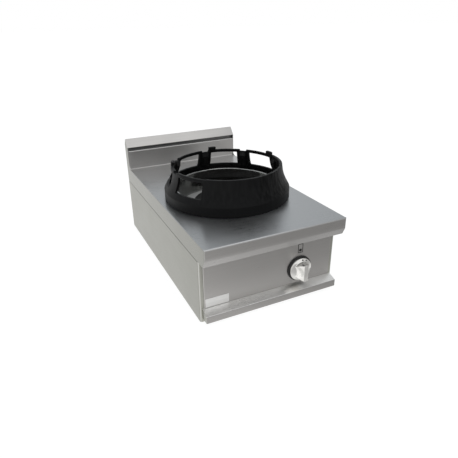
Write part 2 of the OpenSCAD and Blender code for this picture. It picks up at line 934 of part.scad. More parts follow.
// Outer radius of the ring at height z above the worktop
function ring_out(z) =
    let (s = max(0, (z - band_h) / (ring_h - band_h)))
    ring_r + (ring_top_r - ring_r) * s - ring_bow * sin(180 * s);

// Inner radius of the ring at height z above the worktop
function ring_in(z) = ring_out(z) - ring_wall;

// Sector of a ring, from angle a over angle w, between two radii and two heights
module sector(a, w, r0, r1, z0, z1) {
    rotate([0, 0, a])
        rotate_extrude(angle = w)
            translate([r0, z0])
                square([r1 - r0, z1 - z0]);
}

module wok_ring() {
    steps = 10;
    chamfer = 2;
    curve = [for (k = [0 : steps]) band_h + (ring_h - band_h) * k / steps];
    inner_top = ring_top_r - ring_wall;
    rail_top = ring_h - rail_drop;
    open_from = window_first - window_pitch / 2 + notch_angle / 2;
    open_to = window_first + window_pitch * (window_count - 0.5) - notch_angle / 2;
    rail_r = ring_out(rail_top);
    cut_r = inner_top - lug_in;
    lug_low = window_low - 8;
    lug_high = ring_h - notch_drop - 3;
    lug_top = lug_high - lug_slope;
    NUBS = [8, 82, 156];
    pad_in = collar_out_r + collar_foot + 3 * lift_gap;
    color([0.11, 0.11, 0.12])
        on_burner()
            translate([0, 0, top_h]) {
                difference() {
                    rotate_extrude()
                        polygon(concat(
                            [[ring_r - chamfer, 0], [ring_r, chamfer]],
                            [for (z = curve) [ring_out(z), z]],
                            [for (k = [steps : -1 : 0]) [ring_in(curve[k]), curve[k]]],
                            [[ring_r - ring_wall, 0]]
                        ));
                    for (k = [0 : window_count - 1])
                        sector(window_first + k * window_pitch - window_angle / 2, window_angle,
                               cut_r, ring_r + cut, window_low, window_high);
                    sector(open_from, open_to - open_from, cut_r, ring_r, rail_top, ring_h + cut);
                    rotate([0, 0, open_from])
                        rotate_extrude(angle = open_to - open_from)
                            polygon([
                                [rail_r - rail_chamfer - cut, rail_top + cut],
                                [rail_r + rail_chamfer, rail_top - rail_chamfer - cut],
                                [rail_r + rail_chamfer, rail_top + cut]
                            ]);
                    for (k = [0 : window_count - 1])
                        sector(window_first + (k - 0.5) * window_pitch - notch_angle / 2, notch_angle,
                               cut_r, ring_r, ring_h - notch_drop, ring_h + cut);
                }
                for (a = NUBS)
                    sector(a - nub_angle / 2, nub_angle, inner_top, ring_top_r, rail_top - cut, rail_top + nub_h);
                for (k = [-1 : window_count + 1])
                    rotate([90, 0, window_first + (k + 0.5) * window_pitch])
                        linear_extrude(lug_w, center = true)
                            polygon([
                                [ring_in(lug_low) + ring_wall / 2, lug_low],
                                [ring_in(lug_low) - lug_in, lug_low],
                                [ring_in(lug_top) - lug_in, lug_top],
                                [ring_in(lug_high), lug_high],
                                [ring_in(lug_high) + ring_wall / 2, lug_high]
                            ]);
                for (a = [45 : 90 : 315])
                    rotate([0, 0, a])
                        block([pad_in, -pad_w / 2, 0], [ring_r - ring_wall / 2, pad_w / 2, band_h / 3]);
            }
}

// Knob and valve

module knob_bezel() {
    edge = (bezel_r - bezel_in_r) / 2;
    color([0.06, 0.06, 0.06])
        on_knob()
            rotate_extrude()
                polygon([
                    [bezel_in_r, 0],
                    [bezel_r, 0],
                    [bezel_r, bezel_h - edge],
                    [bezel_r - edge, bezel_h],
                    [bezel_in_r, bezel_h]
                ]);
}

module knob() {
    wall_top = knob_foot + knob_skirt_h;
    apex = wall_top + knob_dome_h;
    dome_r = (knob_r * knob_r + knob_dome_h * knob_dome_h) / (2 * knob_dome_h);
    front = wall_top + grip_h;
    socket = wall_top + grip_h / 2;
    rise = front - knob_foot;
    run = (grip_w - grip_front_w) / 2;
    reach = (scoop_r - scoop_in) / norm([rise, run]);
    color([0.82, 0.82, 0.81])
        on_knob()
            difference() {
                union() {
                    intersection() {
                        translate([0, 0, knob_foot])
                            cylinder(r = knob_r, h = apex - knob_foot);
                        translate([0, 0, apex - dome_r])
                            sphere(dome_r);
                    }
                    difference() {
                        intersection() {
                            translate([0, 0, knob_foot])
                                cylinder(r = grip_l / 2, h = rise);
                            rotate([90, 0, 0])
                                linear_extrude(2 * knob_r, center = true)
                                    polygon([
                                        [-grip_w / 2, knob_foot],
                                        [grip_w / 2, knob_foot],
                                        [grip_front_w / 2, front],
                                        [-grip_front_w / 2, front]
                                    ]);
                        }
                        both_sides()
                            translate([
                                (grip_w + grip_front_w) / 4 + reach * rise,
                                0,
                                knob_foot + rise / 2 + reach * run
                            ])
                                sphere(scoop_r);
                    }
                }
                translate([0, 0, knob_foot - cut])
                    cylinder(r = spindle_r + run_gap, h = socket - knob_foot + cut);
            }
}

module spindle() {
    socket = knob_foot + knob_skirt_h + grip_h / 2;
    color([0.75, 0.68, 0.42])
        on_knob() {
            translate([0, 0, -collar_front])
                cylinder(r = spindle_r, h = collar_front + socket);
            translate([0, 0, -collar_front - collar_t])
                cylinder(r = collar_r, h = collar_t);
            block([-tongue_t / 2, -tongue_w / 2, -tongue_back],
                  [tongue_t / 2, tongue_w / 2, -collar_front - collar_t]);
        }
}

module push_rod() {
    rod_back = valve_back - magnet_in - push_travel - run_gap;
    color([0.8, 0.8, 0.8])
        on_knob()
            translate([0, 0, -rod_back])
                cylinder(r = rod_r, h = rod_back - tongue_back);
}

module return_spring() {
    turn_steps = 10;
    ends = spring_wire_r + run_gap;
    from_w = collar_front + collar_t + ends;
    to_w = plug_front - ends;
    count = spring_turns * turn_steps;
    path = [
        for (i = [0 : count])
            let (a = 360 * i / turn_steps)
            [spring_r * cos(a), spring_r * sin(a), -from_w - (to_w - from_w) * i / count]
    ];
    color([0.7, 0.7, 0.7])
        on_knob()
            tube_path(path, spring_wire_r, 6, [0, 0, 1]);
}

module valve_plug() {
    slot_gap = 2 * run_gap;
    color([0.78, 0.66, 0.36])
        on_knob()
            difference() {
                translate([0, 0, -plug_back])
                    cylinder(r1 = plug_end_r, r2 = plug_r, h = plug_l);
                translate([0, 0, -plug_back - cut])
                    cylinder(r = plug_bore_r, h = plug_l + 2 * cut);
                block([-tongue_t / 2 - slot_gap, -tongue_w / 2 - slot_gap, -plug_front - slot_depth],
                      [tongue_t / 2 + slot_gap, tongue_w / 2 + slot_gap, -plug_front + cut]);
                translate([0, 0, -outlet_w])
                    rotate([90, 0, 0])
                        cylinder(r = feed_bore_r, h = plug_r);
            }
}

module valve_body() {
    color([0.72, 0.6, 0.34])
        on_knob()
            difference() {
                union() {
                    translate([0, 0, -valve_back])
                        cylinder(r = valve_r, h = valve_back - bonnet_back);
                    translate([0, 0, -bonnet_back - valve_flange])
                        cylinder(r = bonnet_r, h = valve_flange);
                    translate([0, 0, -inlet_w])
                        rotate([0, 90, 0])
                            cylinder(r = port_boss_r, h = port_reach);
                    translate([0, 0, -outlet_w])
                        rotate([0, -90, 0])
                            cylinder(r = port_boss_r, h = port_reach);
                    translate([0, 0, -outlet_w])
                        rotate([-90, 0, 0])
                            cylinder(r = pilot_boss_r, h = port_reach);
                }
                translate([0, 0, -plug_front])
                    cylinder(r = chamber_r, h = plug_room + cut);
                translate([0, 0, -plug_back])
                    cylinder(r1 = plug_end_r + run_gap, r2 = plug_r + run_gap, h = plug_l);
                translate([0, 0, -valve_back - cut])
                    cylinder(r = rear_room_r, h = rear_room + cut);
                translate([0, 0, -inlet_w])
                    rotate([0, 90, 0])
                        cylinder(r = feed_bore_r, h = port_reach + cut);
                translate([0, 0, -outlet_w])
                    rotate([0, -90, 0])
                        cylinder(r = feed_bore_r, h = port_reach + cut);
                translate([0, 0, -outlet_w])
                    rotate([-90, 0, 0])
                        cylinder(r = pilot_tube_r / 2, h = port_reach + cut);
                bonnet_screw_holes();
            }
}

module bonnet_screw_holes() {
    for (s = [-1, 1])
        translate([s * flange_screw_x, 0, -bonnet_back - valve_flange])
            cylinder(r = screw_hole_r, h = bonnet_back + valve_flange);
}

module valve_bonnet() {
    color([0.72, 0.6, 0.34])
        on_knob()
            difference() {
                translate([0, 0, -bonnet_back])
                    cylinder(r = bonnet_r, h = bonnet_back - valve_set);
                translate([0, 0, -bonnet_back - cut])
                    cylinder(r = chamber_r, h = bonnet_room + cut);
                translate([0, 0, -bonnet_back])
                    cylinder(r = spindle_r + run_gap, h = bonnet_back);
                bonnet_screw_holes();
            }
}

module bonnet_screws() {
    color([0.7, 0.7, 0.7])
        on_knob()
            for (s = [-1, 1])
                translate([s * flange_screw_x, 0, -valve_set + sheet_t])
                    screw(screw_r, sheet_t + bonnet_back - valve_set + valve_flange, screw_head_r, screw_head_h);
}

module valve_bracket() {
    color([0.6, 0.61, 0.62])
        difference() {
            union() {
                block([knob_x - valve_bracket_w, valve_foot_y - sheet_t, base_top],
                      [knob_x + valve_bracket_w, valve_foot_y, knob_z + bonnet_r]);
                block([knob_x - valve_bracket_w, valve_foot_y - sheet_t, base_top],
                      [knob_x + valve_bracket_w, valve_foot_y + foot_l, base_top + sheet_t]);
            }
            on_knob() {
                translate([0, 0, -valve_set - cut])
                    cylinder(r = spindle_r + sheet_t, h = sheet_t + 2 * cut);
                bonnet_screw_holes();
            }
            foot_screw_holes();
        }
}

module magnet_unit() {
    color([0.7, 0.7, 0.68])
        on_knob() {
            translate([0, 0, -magnet_back])
                cylinder(r = magnet_r, h = magnet_l);
            translate([0, 0, -valve_back])
                cylinder(r = rear_room_r - run_gap, h = magnet_in);
        }
}

module lead_nut() {
    color([0.75, 0.62, 0.3])
        on_knob()
            translate([0, 0, -magnet_back - lead_nut_l])
                cylinder(r = magnet_r * 0.6, h = lead_nut_l, $fn = 6);
}

// Pilot, thermocouple and their lines

probe_x = pilot_x - 2;
probe_foot = [probe_x, burner_y + probe_y, ear_z];
pilot_foot = [pilot_x, burner_y, ear_z];

module thermocouple_lead() {
    run_z = knob_z;
    start = [knob_x, magnet_y + lead_nut_l, run_z];
    bend = 20;
    path = rounded([
        start,
        [knob_x, probe_foot[1] - 2 * bend, run_z],
        [probe_x, probe_foot[1], run_z + bend / 2],
        probe_foot
    ], bend * 0.5, 6);
    color([0.75, 0.5, 0.35])
        tube_path(path, lead_r, 8, [1, 0, 0]);
}

module thermocouple() {
    tip = head_rim + 4;
    color([0.55, 0.52, 0.48])
        translate(probe_foot) {
            cylinder(r = probe_r * 2, h = pilot_base_h, $fn = 6);
            cylinder(r = probe_r, h = tip - ear_z);
        }
}

module pilot_tube() {
    run_z = ear_z - sheet_t - 3 * pilot_tube_r;
    bend = 2.5 * pilot_tube_r;
    path = rounded([
        [knob_x, outlet_y, knob_z + port_reach],
        [knob_x, outlet_y, run_z],
        [pilot_x, burner_y, run_z],
        pilot_foot
    ], bend, 6);
    color([0.72, 0.72, 0.7])
        tube_path(path, pilot_tube_r, 8, [1, 0, 0]);
}

module pilot_burner() {
    head_h = 14;
    head = head_rim - 4;
    color([0.72, 0.6, 0.34])
        translate(pilot_foot)
            difference() {
                union() {
                    cylinder(r = pilot_r * 1.7, h = pilot_base_h, $fn = 6);
                    cylinder(r = pilot_r, h = head - ear_z);
                    translate([0, 0, head - ear_z - cut])
                        cylinder(r = pilot_r * 1.4, h = head_h);
                }
                translate([-pilot_r * 2, 0, head - ear_z + head_h / 2])
                    rotate([0, 90, 0])
                        cylinder(r = pilot_r * 0.6, h = pilot_r * 2);
            }
}

// Gas lines

function neck_r() = inlet_r + 1;

// Solid run of the supply pipe with radius r
module supply_run(r, extra) {
    start_x = knob_x + port_reach;
    end_y = recess_y - inlet_hex_l / 2;
    translate([start_x - extra, inlet_y, knob_z])
        rotate([0, 90, 0])
            cylinder(r = r, h = pipe_x - pipe_bend_r - start_x + extra);
    translate([pipe_x - pipe_bend_r, inlet_y + pipe_bend_r, knob_z])
        rotate([0, 0, -90])
            rotate_extrude(angle = 90)
                translate([pipe_bend_r, 0])
                    circle(r);
    translate([pipe_x, inlet_y + pipe_bend_r, knob_z])
        rotate([-90, 0, 0])
            cylinder(r = r, h = end_y - inlet_y - pipe_bend_r + extra);
}

module supply_pipe() {
    color([0.5, 0.5, 0.5])
        difference() {
            supply_run(pipe_r, 0);
            supply_run(pipe_bore_r, cut);
        }
}

module supply_nut() {
    color([0.72, 0.6, 0.34])
        translate([knob_x + port_reach, inlet_y, knob_z])
            rotate([0, 90, 0])
                hex_nut(pipe_r * 1.6, pipe_r + run_gap, nut_l);
}

module gas_inlet() {
    neck_l = sheet_t + locknut_t;
    color([0.72, 0.6, 0.34])
        translate([pipe_x, recess_y, knob_z])
            rotate([-90, 0, 0])
                difference() {
                    union() {
                        translate([0, 0, -inlet_hex_l])
                            cylinder(r = inlet_hex_r, h = inlet_hex_l, $fn = 6);
                        cylinder(r = neck_r(), h = neck_l);
                        translate([0, 0, neck_l])
                            cylinder(r = inlet_r, h = inlet_l);
                    }
                    translate([0, 0, -inlet_hex_l - cut])
                        cylinder(r = inlet_bore_r, h = inlet_hex_l + neck_l + inlet_l + 2 * cut);
                    translate([0, 0, -inlet_hex_l - cut])
                        cylinder(r = pipe_r + run_gap, h = inlet_hex_l / 2 + cut);
                }
}

module inlet_locknut() {
    color([0.7, 0.7, 0.7])
        translate([pipe_x, recess_y + sheet_t, knob_z])
            rotate([-90, 0, 0])
                hex_nut(inlet_hex_r, neck_r() + run_gap, locknut_t);
}

module feed_tube() {
    length = knob_x - port_reach - holder_half;
    color([0.75, 0.75, 0.75])
        translate([holder_half, outlet_y, knob_z])
            rotate([0, 90, 0])
                difference() {
                    cylinder(r = feed_r, h = length);
                    translate([0, 0, -cut])
                        cylinder(r = feed_bore_r, h = length + 2 * cut);
                }
}

module feed_nuts() {
    color([0.72, 0.6, 0.34])
        for (x = [holder_half, knob_x - port_reach - nut_l])
            translate([x, outlet_y, knob_z])
                rotate([0, 90, 0])
                    hex_nut(feed_r * 1.7, feed_r + run_gap, nut_l);
}

module injector_holder() {
    h = holder_half;
    color([0.72, 0.6, 0.34])
        translate([0, outlet_y, knob_z])
            difference() {
                block([-h, -h, -h], [h, h, h]);
                rotate([0, 90, 0])
                    cylinder(r = feed_bore_r, h = h + cut);
                rotate([-90, 0, 0])
                    cylinder(r = feed_bore_r, h = h + cut);
                translate([0, h / 2, 0])
                    rotate([-90, 0, 0])
                        cylinder(r = injector_r, h = h);
            }
}

module injector() {
    thread_l = holder_half / 2;
    color([0.8, 0.66, 0.3])
        translate([0, holder_back, knob_z])
            rotate([-90, 0, 0])
                difference() {
                    union() {
                        translate([0, 0, -thread_l])
                            cylinder(r = injector_r - run_gap, h = thread_l);
                        cylinder(r = injector_r * 1.5, h = injector_hex_l, $fn = 6);
                        translate([0, 0, injector_hex_l])
                            cylinder(r1 = injector_r, r2 = injector_r * 0.6, h = injector_tip_l);
                    }
                    translate([0, 0, -thread_l - cut])
                        cylinder(r = orifice_r, h = thread_l + injector_hex_l + injector_tip_l + 2 * cut);
                }
}

module injector_bracket() {
    top = knob_z - holder_half;
    y0 = injector_foot_y - sheet_t;
    color([0.6, 0.61, 0.62])
        difference() {
            union() {
                block([-holder_half, y0, base_top], [holder_half, y0 + sheet_t, top]);
                block([-holder_half, y0, base_top], [holder_half, injector_foot_y + foot_l, base_top + sheet_t]);
                block([-holder_half, y0, top - sheet_t], [holder_half, holder_back, top]);
            }
            foot_screw_holes();
        }
}

// Burner

module air_shutter() {
    color([0.66, 0.66, 0.66])
        translate([0, mouth_y + 2, knob_z])
            rotate([-90, 0, 0])
                difference() {
                    cylinder(r = shutter_in_r + shutter_t, h = shutter_l);
                    translate([0, 0, -cut])
                        cylinder(r = shutter_in_r, h = shutter_l + 2 * cut);
                }
}

module burner_body() {
    low = knob_z - riser_r;
    in_r = riser_r - cast_t;
    color([0.2, 0.2, 0.21])
        difference() {
            union() {
                on_burner()
                    rotate_extrude()
                        polygon([
                            [0, low],
                            [riser_r, low],
                            [riser_r, flare_low],
                            [head_r, flare_high],
                            [head_r, head_rim],
                            [0, head_rim]
                        ]);
                translate([0, mouth_y, knob_z])
                    rotate([-90, 0, 0])
                        cylinder(r = tube_r, h = burner_y - mouth_y);
                on_burner()
                    block([-ear_l, -ear_w / 2, ear_z], [ear_l, ear_w / 2, ear_z + ear_t]);
            }
            on_burner()
                rotate_extrude()
                    polygon([
                        [0, low + cast_t],
                        [in_r, low + cast_t],
                        [in_r, flare_low],
                        [head_r - cast_t, flare_high],
                        [head_r - cast_t, head_rim + cut],
                        [0, head_rim + cut]
                    ]);
            translate([0, mouth_y - cut, knob_z])
                rotate([-90, 0, 0])
                    cylinder(r = tube_bore_r, h = burner_y - mouth_y);
            burner_bolt_holes();
        }
}

module burner_bolt_holes() {
    on_burner()
        both_sides()
            translate([bolt_x, 0, ear_z - 2 * sheet_t])
                cylinder(r = bolt_hole_r, h = ear_t + 4 * sheet_t);
}

module burner_crown() {
    spigot_r = head_r - cast_t - lift_gap;
    top = head_rim + crown_h;
    rim_low = top - crown_rim_t;
    rim_edge = 2;
    groove = crown_h / 3;
    outer_r = head_r * 0.86;
    inner_r = head_r * 0.3;
    color([0.32, 0.29, 0.25])
        on_burner()
            difference() {
                rotate_extrude()
                    polygon([
                        [0, head_rim],
                        [spigot_r - cast_t, head_rim],
                        [spigot_r - cast_t, head_rim - spigot_h],
                        [spigot_r, head_rim - spigot_h],
                        [spigot_r, head_rim],
                        [head_r, head_rim],
                        [head_r, rim_low],
                        [crown_r, rim_low],
                        [crown_r, top - rim_edge],
                        [crown_r - rim_edge, top],
                        [outer_r - 2 * groove, top],
                        [outer_r - 3 * groove, top - groove],
                        [inner_r + 2 * groove, top - groove],
                        [inner_r + groove, top],
                        [inner_r - groove, top],
                        [inner_r - 2 * groove, top - groove],
                        [0, top - groove]
                    ]);
                translate([pilot_x, 0, rim_low - cut])
                    cylinder(r = pilot_r * 1.2, h = crown_rim_t + 2 * cut);
                for (k = [0 : outer_ports - 1])
                    rotate([0, 0, k * 360 / outer_ports])
                        translate([outer_r, 0, head_rim - cut])
                            cylinder(r = port_r, h = crown_h + 2 * cut);
                for (k = [0 : inner_ports - 1])
                    rotate([0, 0, k * 360 / inner_ports])
                        translate([inner_r, 0, head_rim - cut])
                            cylinder(r = port_r, h = crown_h + 2 * cut);
            }
}

module burner_bracket() {
    top = ear_z - sheet_t;
    half = bracket_w / 2;
    difference() {
        on_burner() {
            block([web_x, -half, base_top], [web_x + sheet_t, half, ear_z]);
            block([web_x, -half, base_top], [web_x + foot_l, half, base_top + sheet_t]);
            block([web_x + sheet_t - bracket_top, -half, top], [web_x + sheet_t, half, ear_z]);
        }
        burner_bolt_holes();
        foot_screw_holes();
    }
}

// Holes below the pilot and the thermocouple for their lines
module line_holes() {
    for (line = [[pilot_foot, pilot_tube_r], [probe_foot, lead_r]])
        translate(line[0] - [0, 0, sheet_t + cut])
            cylinder(r = line[1] + run_gap, h = sheet_t + 2 * cut);
}

module burner_bracket_left() {
    color([0.6, 0.61, 0.62])
        mirror([1, 0, 0])
            burner_bracket();
}

module burner_bracket_right() {
    color([0.6, 0.61, 0.62])
        difference() {
            burner_bracket();
            line_holes();
        }
}

module burner_bolts() {
    color([0.7, 0.7, 0.7])
        on_burner()
            both_sides()
                translate([bolt_x, 0, ear_z + ear_t])
                    difference() {
                        screw(bolt_r, ear_t + sheet_t, bolt_r * 1.8, bolt_head_h);
                        translate([0, 0, bolt_head_h / 2])
                            cylinder(r = bolt_r * 0.9, h = bolt_head_h, $fn = 6);
                    }
}

// Fasteners of the casing

module foot_screw_holes() {
    for (p = FOOT_SCREWS)
        translate([p[0], p[1], -cut])
            cylinder(r = screw_hole_r, h = base_top + sheet_t + 2 * cut);
}

module base_screws() {
    color([0.7, 0.7, 0.7])
        for (p = FOOT_SCREWS)
            translate([p[0], p[1], base_top + sheet_t])
                screw(screw_r, base_top + sheet_t, screw_head_r, screw_head_h);
}

module rear_screw_holes() {
    for (p = REAR_SCREWS)
        translate([p[0], back_y - sheet_t - cut, p[1]])
            rotate([-90, 0, 0])
                cylinder(r = screw_hole_r, h = 2 * sheet_t + rear_inset + cut);
}

module rear_screws() {
    color([0.7, 0.7, 0.7])
        for (p = REAR_SCREWS)
            translate([p[0], rear_flange_y, p[1]])
                rotate([-90, 0, 0])
                    screw(screw_r, 2 * sheet_t, screw_head_r, screw_head_h);
}

worktop();
flue_cap();
flue_baffle();
side_panel_left();
side_panel_right();
control_panel();
front_ledge();
name_plate();
base_plate();
back_panel();
well_collar();
well_liner();
spill_bowl();
wok_ring();
knob_bezel();
knob();
spindle();
push_rod();
return_spring();
valve_plug();
valve_body();
valve_bonnet();
bonnet_screws();
valve_bracket();
magnet_unit();
lead_nut();
thermocouple_lead();
thermocouple();
pilot_tube();
pilot_burner();
supply_pipe();
supply_nut();
gas_inlet();
inlet_locknut();
feed_tube();
feed_nuts();
injector_holder();
injector();
injector_bracket();
air_shutter();
burner_body();
burner_crown();
burner_bracket_left();
burner_bracket_right();
burner_bolts();
base_screws();
rear_screws();
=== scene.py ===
import json
import math

import bmesh
import bpy
from mathutils import Matrix, Vector
from mathutils.bvhtree import BVHTree


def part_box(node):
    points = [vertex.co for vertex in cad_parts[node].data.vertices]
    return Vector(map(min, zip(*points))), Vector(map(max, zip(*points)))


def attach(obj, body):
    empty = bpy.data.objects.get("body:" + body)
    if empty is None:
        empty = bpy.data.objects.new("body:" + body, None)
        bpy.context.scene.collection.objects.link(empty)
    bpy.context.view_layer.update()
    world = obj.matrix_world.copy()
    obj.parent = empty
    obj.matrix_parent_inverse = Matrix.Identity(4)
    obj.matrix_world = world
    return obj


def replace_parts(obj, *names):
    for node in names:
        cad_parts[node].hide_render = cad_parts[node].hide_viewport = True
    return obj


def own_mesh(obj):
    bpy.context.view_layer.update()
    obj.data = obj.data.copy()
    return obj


# Looks of the counter-top wok burner: finishes, small prints, studio and camera. Lengths are in metres.
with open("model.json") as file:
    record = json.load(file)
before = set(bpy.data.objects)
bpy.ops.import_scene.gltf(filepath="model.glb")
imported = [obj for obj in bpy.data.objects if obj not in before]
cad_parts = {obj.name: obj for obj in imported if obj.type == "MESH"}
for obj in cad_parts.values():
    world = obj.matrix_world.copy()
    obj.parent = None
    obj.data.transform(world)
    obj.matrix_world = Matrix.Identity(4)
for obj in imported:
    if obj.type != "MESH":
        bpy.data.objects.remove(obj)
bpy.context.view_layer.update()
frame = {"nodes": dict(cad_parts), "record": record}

MM = 0.001

# Camera, as fitted to the photograph: its place, its angles in degrees, and its lens in millimetres
CAMERA_PLACE = Vector((-0.5136, -1.1498, 0.6901))
CAMERA_AZIMUTH = -25.23
CAMERA_ELEVATION = 25.61
CAMERA_ROLL = -0.86
CAMERA_LENS = 34.36
SENSOR_WIDTH = 36.0
CLIP_START = 0.01

# Floor: white to the camera, and in mirrored views a tone that falls from left to right
FLOOR_HALF = 40.0
FLOOR_DROP = 0.2 * MM
FLOOR_COLOUR = (0.9, 0.9, 0.9, 1.0)
FLOOR_GLOW = 0.78
FLOOR_GLOW_STRENGTH = 1.15
FLOOR_GLOW_MIRRORED = 0.95
FLOOR_LEFT_X = -0.6
FLOOR_RIGHT_X = 0.6
FLOOR_LEVELS = ((0.2, 1.0), (0.425, 0.55), (0.5, 0.475), (0.67, 0.39), (0.85, 0.38), (1.0, 0.35))

# The floor's mirrored tone rises in front of the casing, and stays so beside and behind it
FLOOR_FAR_Y = -0.45
FLOOR_NEAR_Y = -0.36
FLOOR_NEAR_GAIN = 1.85

# World: tones from the horizon up, and levels from left to right for all but the camera
WORLD_TONES = (
    (0.0, (1.0, 1.0, 1.0)), (0.15, (1.0, 1.0, 1.0)), (0.4, (0.84, 0.88, 0.91)), (1.0, (0.82, 0.83, 0.84)),
)
WORLD_LEVELS = ((0.65, 0.86), (0.75, 0.8), (0.875, 0.52), (1.0, 0.36))
WHITE = (1.0, 1.0, 1.0, 1.0)

# Lamps: name, place, width, depth and power in watts
LAMP_TARGET = Vector((0.0, 0.0, 0.15))
LAMPS = (
    ("lamp_left", (-2.2, -0.9, 1.9), 1.6, 1.6, 1.5),
    ("lamp_front", (0.45, -1.0, 2.5), 2.0, 1.5, 6.0),
)


# Shader helpers

def set_input(tree, socket, value):
    """Joins a socket to another one, or gives it a plain value."""
    if isinstance(value, bpy.types.NodeSocket):
        tree.links.new(value, socket)
    else:
        socket.default_value = value


def add_node(tree, kind, inputs=None, **settings):
    """Adds a node, sets its properties and joins or sets its inputs."""
    node = tree.nodes.new(kind)
    for name, value in settings.items():
        setattr(node, name, value)
    for name, value in (inputs or {}).items():
        set_input(tree, node.inputs[name], value)
    return node


def start_material(name):
    """An empty material with its output, shader and object coordinates."""
    material = bpy.data.materials.new(name)
    material.use_nodes = True
    tree = material.node_tree
    tree.nodes.clear()
    shader = add_node(tree, "ShaderNodeBsdfPrincipled")
    add_node(tree, "ShaderNodeOutputMaterial", {"Surface": shader.outputs["BSDF"]})
    coords = add_node(tree, "ShaderNodeTexCoord").outputs["Object"]
    return material, tree, shader, coords


def apply_finish(tree, shader, inputs):
    """Joins or sets the shader's inputs by their names."""
    for name, value in inputs.items():
        set_input(tree, shader.inputs[name], value)


def axes_of(tree, vector):
    """The X, Y and Z of a vector, by name."""
    return add_node(tree, "ShaderNodeSeparateXYZ", {"Vector": vector}).outputs


def noise(tree, coords, scale, detail=3.0, roughness=0.55):
    """Noise of a given frequency per metre, a number for each axis or one for all."""
    if not isinstance(scale, tuple):
        scale = (scale,) * 3
    placed = add_node(tree, "ShaderNodeMapping", {"Vector": coords, "Scale": scale})
    texture = add_node(tree, "ShaderNodeTexNoise", {
        "Vector": placed.outputs["Vector"], "Scale": 1.0, "Detail": detail, "Roughness": roughness,
    })
    return texture.outputs["Fac"]


def spread(tree, value, low, high, start=0.3, end=0.7):
    """Maps values from start to end, or the middle of a noise's values, to a range."""
    node = add_node(tree, "ShaderNodeMapRange", {
        "Value": value, "From Min": start, "From Max": end, "To Min": low, "To Max": high,
    })
    return node.outputs["Result"]


def uneven(tree, value, middle, swing):
    """Maps the middle of a noise's values to a range on both sides of a number."""
    return spread(tree, value, middle - swing, middle + swing)


def combine(tree, operation, first, second):
    """Works out one number from two, each a socket or plain."""
    node = add_node(tree, "ShaderNodeMath", operation=operation)
    for socket, value in zip(node.inputs, (first, second)):
        set_input(tree, socket, value)
    return node.outputs["Value"]


def product(tree, first, second):
    return combine(tree, "MULTIPLY", first, second)


def mean(tree, first, second, share=0.5):
    """A mean of two numbers, of which the first has the given share."""
    return combine(tree, "ADD", product(tree, first, share), product(tree, second, 1.0 - share))


def shades(tree, value, stops):
    """A colour ramp through (place, colour) stops."""
    node = add_node(tree, "ShaderNodeValToRGB", {"Fac": value})
    elements = node.color_ramp.elements
    while len(elements) < len(stops):
        elements.new(0.5)
    for element, (place, colour) in zip(elements, stops):
        element.position = place
        element.color = (*colour, 1.0)
    return node.outputs["Color"]


def grey_levels(tree, value, levels):
    """A ramp of grey through (place, level) stops."""
    return shades(tree, value, [(place, (level,) * 3) for place, level in levels])


def tinted(colour, factor):
    return tuple(min(1.0, c * factor) for c in colour)


def cloudy(tree, value, colour, dark, light, start=0.3, end=0.7):
    """A colour that a noise varies between two factors."""
    return shades(tree, value, [(start, tinted(colour, dark)), (end, tinted(colour, light))])


def mixed_colours(tree, share, first, second, blend="MIX"):
    """Blends two colours, each a socket or plain numbers."""
    node = add_node(tree, "ShaderNodeMix", data_type="RGBA", blend_type=blend)
    sockets = [s for s in node.inputs if s.enabled]
    for socket, value in zip(sockets, (share, first, second)):
        set_input(tree, socket, (*value, 1.0) if isinstance(value, tuple) else value)
    return next(s for s in node.outputs if s.enabled)


def bump(tree, height, strength, distance, under=None):
    """A bumpy normal, over another one if that is given."""
    inputs = {"Height": height, "Strength": strength, "Distance": distance}
    if under is not None:
        inputs["Normal"] = under
    return add_node(tree, "ShaderNodeBump", inputs).outputs["Normal"]


# Finishes

# Brush marks: frequencies per metre across and along them, and the share of these that wide marks have
GRAIN_FINE = 1400.0
GRAIN_LONG = 9.0
GRAIN_WIDE = 0.12

# The sheen of brushed steel: how far it is stretched, and the tangent that it follows
SHEEN_STRETCH = 0.6
SHEEN_DIRECTION = (0.0, 0.6, 0.8)

# Where along Y a folded sheet's tones pass from front to a rear of painted light, and the roughness added on
# its rear wall
REAR_START_Y = 0.0
REAR_END_Y = 0.2
REAR_MATT = 0.06

# A painted highlight on upright bends: the factor that makes its share 1 at 45 degrees, and how quickly it
# fades to both sides
BEND_FULL = 4.0
BEND_SHARPNESS = 4.0

# Runs in the ring's enamel: frequencies per metre, where they set in, and how much they change its gloss
RUNS_SCALE = (120.0, 120.0, 4.0)
RUNS_LOW = 252.0 * MM
RUNS_HIGH = 262.0 * MM
RUNS_LEFT = -10.0 * MM
RUNS_RIGHT = 80.0 * MM
RUNS_DULL = -0.11
RUNS_BRIGHT = 0.13

# Specular levels of the enamel and of the raw iron
ENAMEL_GLOSS = 0.13
IRON_GLOSS = 0.15


def grain_scale(axis):
    """Frequencies of brush marks that run along one axis."""
    return tuple(GRAIN_LONG if name == axis else GRAIN_FINE for name in "xyz")


def folded_tones(tree, coords, top, sides, front, rear, rear_top, bend_highlight):
    """A folded sheet's colour, with painted light and shade by the way its faces look and where they stand,
    and the roughness that its rear wall has more.
    """
    facing = axes_of(tree, add_node(tree, "ShaderNodeNewGeometry").outputs["Normal"])
    forward = product(tree, facing["Y"], facing["Y"])
    sideways = product(tree, facing["X"], facing["X"])
    behind = spread(tree, axes_of(tree, coords)["Y"], 0.0, 1.0, REAR_START_Y, REAR_END_Y)
    upright = mixed_colours(tree, behind, front, rear or front)
    level = mixed_colours(tree, behind, top, rear_top or top)
    colour = mixed_colours(tree, sideways, mixed_colours(tree, forward, level, upright), sides)
    if bend_highlight:
        # A painted highlight where a face looks halfway between forwards and sideways
        corner = product(tree, product(tree, forward, sideways), BEND_FULL)
        colour = mixed_colours(tree, combine(tree, "POWER", corner, BEND_SHARPNESS), colour, bend_highlight)
    return colour, product(tree, product(tree, forward, behind), REAR_MATT)


